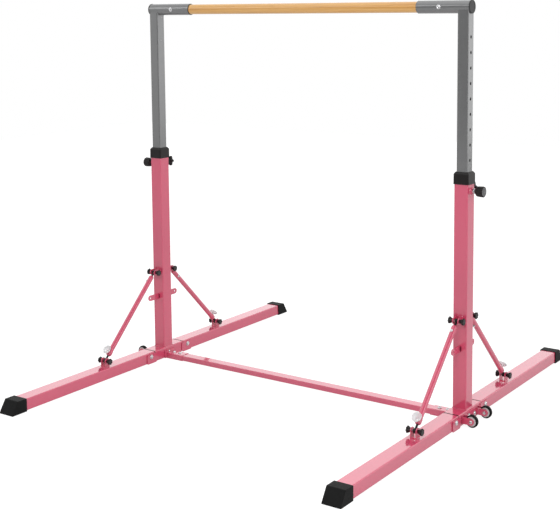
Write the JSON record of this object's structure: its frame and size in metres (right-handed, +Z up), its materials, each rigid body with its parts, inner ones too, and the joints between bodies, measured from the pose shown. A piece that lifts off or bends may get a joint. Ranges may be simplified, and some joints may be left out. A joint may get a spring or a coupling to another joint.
{
  "type": "kip bar",
  "caption": "Height-adjustable gymnastics bar: a round wooden bar held in sleeves on two telescoping stands with folding braced legs and small wheels.",
  "frame": {"origin": "on the floor, midway between the stands and under the middle of the bar", "axes": "+X along the bar towards the right stand, +Y along the legs towards the rear, +Z up"},
  "size_m": [1.608, 1.7598, 1.5112],
  "materials": {
    "pink_paint": "gloss",
    "grey_steel": "satin",
    "black_plastic": "satin",
    "rubber_foot": "matte",
    "tyre_rubber": "matte",
    "bright_steel": "polished",
    "black_steel": "satin",
    "clear_vinyl": "gloss",
    "bar_wood": "varnished"
  },
  "bodies": {
    "frame": {"cross_tube": "pink_paint", "left_upright": "pink_paint", "left_base_channel": "pink_paint", "left_collar": "black_plastic", "left_wheel_bracket": "pink_paint", "left_cross_socket": "pink_paint", "left_front_hinge_bolt": "bright_steel", "left_rear_hinge_bolt": "bright_steel", "right_upright": "pink_paint", "right_base_channel": "pink_paint", "right_collar": "black_plastic", "right_wheel_bracket": "pink_paint", "right_cross_socket": "pink_paint", "right_front_hinge_bolt": "bright_steel", "right_rear_hinge_bolt": "bright_steel"},
    "bar_assembly": {"wooden_bar": "bar_wood", "left_post_and_sleeve": "grey_steel", "left_sleeve_cap": "black_plastic", "right_post_and_sleeve": "grey_steel", "right_sleeve_cap": "black_plastic"},
    "left_pull_pin": {"left_pull_pin": "black_plastic"},
    "left_clamp_knob": {"left_clamp_knob": "black_plastic"},
    "left_front_leg": {"left_front_leg": "pink_paint", "left_front_foot_cap": "rubber_foot"},
    "left_front_brace": {"left_front_brace": "pink_paint", "left_front_brace_rod": "black_steel", "left_front_suction_cup": "clear_vinyl"},
    "left_front_wheel": {"left_front_wheel": "tyre_rubber"},
    "left_front_upper_knob": {"left_front_upper_knob_bolt": "black_plastic"},
    "left_front_lower_knob_outer": {"left_front_lower_knob_outer": "black_plastic"},
    "left_front_lower_knob_inner": {"left_front_lower_knob_inner": "black_plastic"},
    "left_rear_leg": {"left_rear_leg": "pink_paint", "left_rear_foot_cap": "rubber_foot"},
    "left_rear_brace": {"left_rear_brace": "pink_paint", "left_rear_brace_rod": "black_steel", "left_rear_suction_cup": "clear_vinyl"},
    "left_rear_wheel": {"left_rear_wheel": "tyre_rubber"},
    "left_rear_upper_knob": {"left_rear_upper_knob_bolt": "black_plastic"},
    "left_rear_lower_knob_outer": {"left_rear_lower_knob_outer": "black_plastic"},
    "left_rear_lower_knob_inner": {"left_rear_lower_knob_inner": "black_plastic"},
    "right_pull_pin": {"right_pull_pin": "black_plastic"},
    "right_clamp_knob": {"right_clamp_knob": "black_plastic"},
    "right_front_leg": {"right_front_leg": "pink_paint", "right_front_foot_cap": "rubber_foot"},
    "right_front_brace": {"right_front_brace": "pink_paint", "right_front_brace_rod": "black_steel", "right_front_suction_cup": "clear_vinyl"},
    "right_front_wheel": {"right_front_wheel": "tyre_rubber"},
    "right_front_upper_knob": {"right_front_upper_knob_bolt": "black_plastic"},
    "right_front_lower_knob_outer": {"right_front_lower_knob_outer": "black_plastic"},
    "right_front_lower_knob_inner": {"right_front_lower_knob_inner": "black_plastic"},
    "right_rear_leg": {"right_rear_leg": "pink_paint", "right_rear_foot_cap": "rubber_foot"},
    "right_rear_brace": {"right_rear_brace": "pink_paint", "right_rear_brace_rod": "black_steel", "right_rear_suction_cup": "clear_vinyl"},
    "right_rear_wheel": {"right_rear_wheel": "tyre_rubber"},
    "right_rear_upper_knob": {"right_rear_upper_knob_bolt": "black_plastic"},
    "right_rear_lower_knob_outer": {"right_rear_lower_knob_outer": "black_plastic"},
    "right_rear_lower_knob_inner": {"right_rear_lower_knob_inner": "black_plastic"}
  },
  "joints": [
    {"name": "height_slide", "type": "slide", "parent": "frame", "child": "bar_assembly", "axis": [0, 0, 1], "range_m": [-0.542, 0]},
    {"name": "left_pull_pin_slide", "type": "slide", "parent": "frame", "child": "left_pull_pin", "axis": [-1, 0, 0], "range_m": [0, 0.01], "stiffness_N_per_m": 800},
    {"name": "left_clamp_knob_turn", "type": "hinge", "parent": "frame", "child": "left_clamp_knob", "pos_m": [-0.714, 0.033, 0.844], "axis": [0, 1, 0], "continuous": true},
    {"name": "left_front_leg_fold", "type": "hinge", "parent": "frame", "child": "left_front_leg", "pos_m": [-0.714, -0.1175, 0.03], "axis": [-1, 0, 0], "range_deg": [0, 90]},
    {"name": "left_front_brace_fold", "type": "hinge", "parent": "frame", "child": "left_front_brace", "pos_m": [-0.714, -0.052, 0.377], "axis": [-1, 0, 0], "range_deg": [0, 135]},
    {"name": "left_front_wheel_spin", "type": "hinge", "parent": "frame", "child": "left_front_wheel", "pos_m": [-0.781, -0.057, 0.0238], "axis": [0, 1, 0], "continuous": true},
    {"name": "left_front_upper_knob_turn", "type": "hinge", "parent": "frame", "child": "left_front_upper_knob", "pos_m": [-0.714, -0.052, 0.377], "axis": [1, 0, 0], "continuous": true},
    {"name": "left_front_lower_knob_outer_turn", "type": "hinge", "parent": "left_front_leg", "child": "left_front_lower_knob_outer", "pos_m": [-0.714, -0.357, 0.07], "axis": [1, 0, 0], "continuous": true},
    {"name": "left_front_lower_knob_inner_turn", "type": "hinge", "parent": "left_front_leg", "child": "left_front_lower_knob_inner", "pos_m": [-0.714, -0.357, 0.07], "axis": [1, 0, 0], "continuous": true},
    {"name": "left_rear_leg_fold", "type": "hinge", "parent": "frame", "child": "left_rear_leg", "pos_m": [-0.714, 0.1175, 0.03], "axis": [1, 0, 0], "range_deg": [0, 90]},
    {"name": "left_rear_brace_fold", "type": "hinge", "parent": "frame", "child": "left_rear_brace", "pos_m": [-0.714, 0.052, 0.377], "axis": [1, 0, 0], "range_deg": [0, 135]},
    {"name": "left_rear_wheel_spin", "type": "hinge", "parent": "frame", "child": "left_rear_wheel", "pos_m": [-0.781, 0.057, 0.0238], "axis": [0, 1, 0], "continuous": true},
    {"name": "left_rear_upper_knob_turn", "type": "hinge", "parent": "frame", "child": "left_rear_upper_knob", "pos_m": [-0.714, 0.052, 0.377], "axis": [1, 0, 0], "continuous": true},
    {"name": "left_rear_lower_knob_outer_turn", "type": "hinge", "parent": "left_rear_leg", "child": "left_rear_lower_knob_outer", "pos_m": [-0.714, 0.357, 0.07], "axis": [1, 0, 0], "continuous": true},
    {"name": "left_rear_lower_knob_inner_turn", "type": "hinge", "parent": "left_rear_leg", "child": "left_rear_lower_knob_inner", "pos_m": [-0.714, 0.357, 0.07], "axis": [1, 0, 0], "continuous": true},
    {"name": "right_pull_pin_slide", "type": "slide", "parent": "frame", "child": "right_pull_pin", "axis": [1, 0, 0], "range_m": [0, 0.01], "stiffness_N_per_m": 800},
    {"name": "right_clamp_knob_turn", "type": "hinge", "parent": "frame", "child": "right_clamp_knob", "pos_m": [0.714, 0.033, 0.844], "axis": [0, 1, 0], "continuous": true},
    {"name": "right_front_leg_fold", "type": "hinge", "parent": "frame", "child": "right_front_leg", "pos_m": [0.714, -0.1175, 0.03], "axis": [-1, 0, 0], "range_deg": [0, 90]},
    {"name": "right_front_brace_fold", "type": "hinge", "parent": "frame", "child": "right_front_brace", "pos_m": [0.714, -0.052, 0.377], "axis": [-1, 0, 0], "range_deg": [0, 135]},
    {"name": "right_front_wheel_spin", "type": "hinge", "parent": "frame", "child": "right_front_wheel", "pos_m": [0.781, -0.057, 0.0238], "axis": [0, 1, 0], "continuous": true},
    {"name": "right_front_upper_knob_turn", "type": "hinge", "parent": "frame", "child": "right_front_upper_knob", "pos_m": [0.714, -0.052, 0.377], "axis": [1, 0, 0], "continuous": true},
    {"name": "right_front_lower_knob_outer_turn", "type": "hinge", "parent": "right_front_leg", "child": "right_front_lower_knob_outer", "pos_m": [0.714, -0.357, 0.07], "axis": [1, 0, 0], "continuous": true},
    {"name": "right_front_lower_knob_inner_turn", "type": "hinge", "parent": "right_front_leg", "child": "right_front_lower_knob_inner", "pos_m": [0.714, -0.357, 0.07], "axis": [1, 0, 0], "continuous": true},
    {"name": "right_rear_leg_fold", "type": "hinge", "parent": "frame", "child": "right_rear_leg", "pos_m": [0.714, 0.1175, 0.03], "axis": [1, 0, 0], "range_deg": [0, 90]},
    {"name": "right_rear_brace_fold", "type": "hinge", "parent": "frame", "child": "right_rear_brace", "pos_m": [0.714, 0.052, 0.377], "axis": [1, 0, 0], "range_deg": [0, 135]},
    {"name": "right_rear_wheel_spin", "type": "hinge", "parent": "frame", "child": "right_rear_wheel", "pos_m": [0.781, 0.057, 0.0238], "axis": [0, 1, 0], "continuous": true},
    {"name": "right_rear_upper_knob_turn", "type": "hinge", "parent": "frame", "child": "right_rear_upper_knob", "pos_m": [0.714, 0.052, 0.377], "axis": [1, 0, 0], "continuous": true},
    {"name": "right_rear_lower_knob_outer_turn", "type": "hinge", "parent": "right_rear_leg", "child": "right_rear_lower_knob_outer", "pos_m": [0.714, 0.357, 0.07], "axis": [1, 0, 0], "continuous": true},
    {"name": "right_rear_lower_knob_inner_turn", "type": "hinge", "parent": "right_rear_leg", "child": "right_rear_lower_knob_inner", "pos_m": [0.714, 0.357, 0.07], "axis": [1, 0, 0], "continuous": true}
  ],
  "couplings": [
    {"joint": "left_front_brace_fold", "follows": "left_front_leg_fold", "ratio": 1.5},
    {"joint": "left_rear_brace_fold", "follows": "left_rear_leg_fold", "ratio": 1.5},
    {"joint": "right_front_brace_fold", "follows": "right_front_leg_fold", "ratio": 1.5},
    {"joint": "right_rear_brace_fold", "follows": "right_rear_leg_fold", "ratio": 1.5}
  ]
}
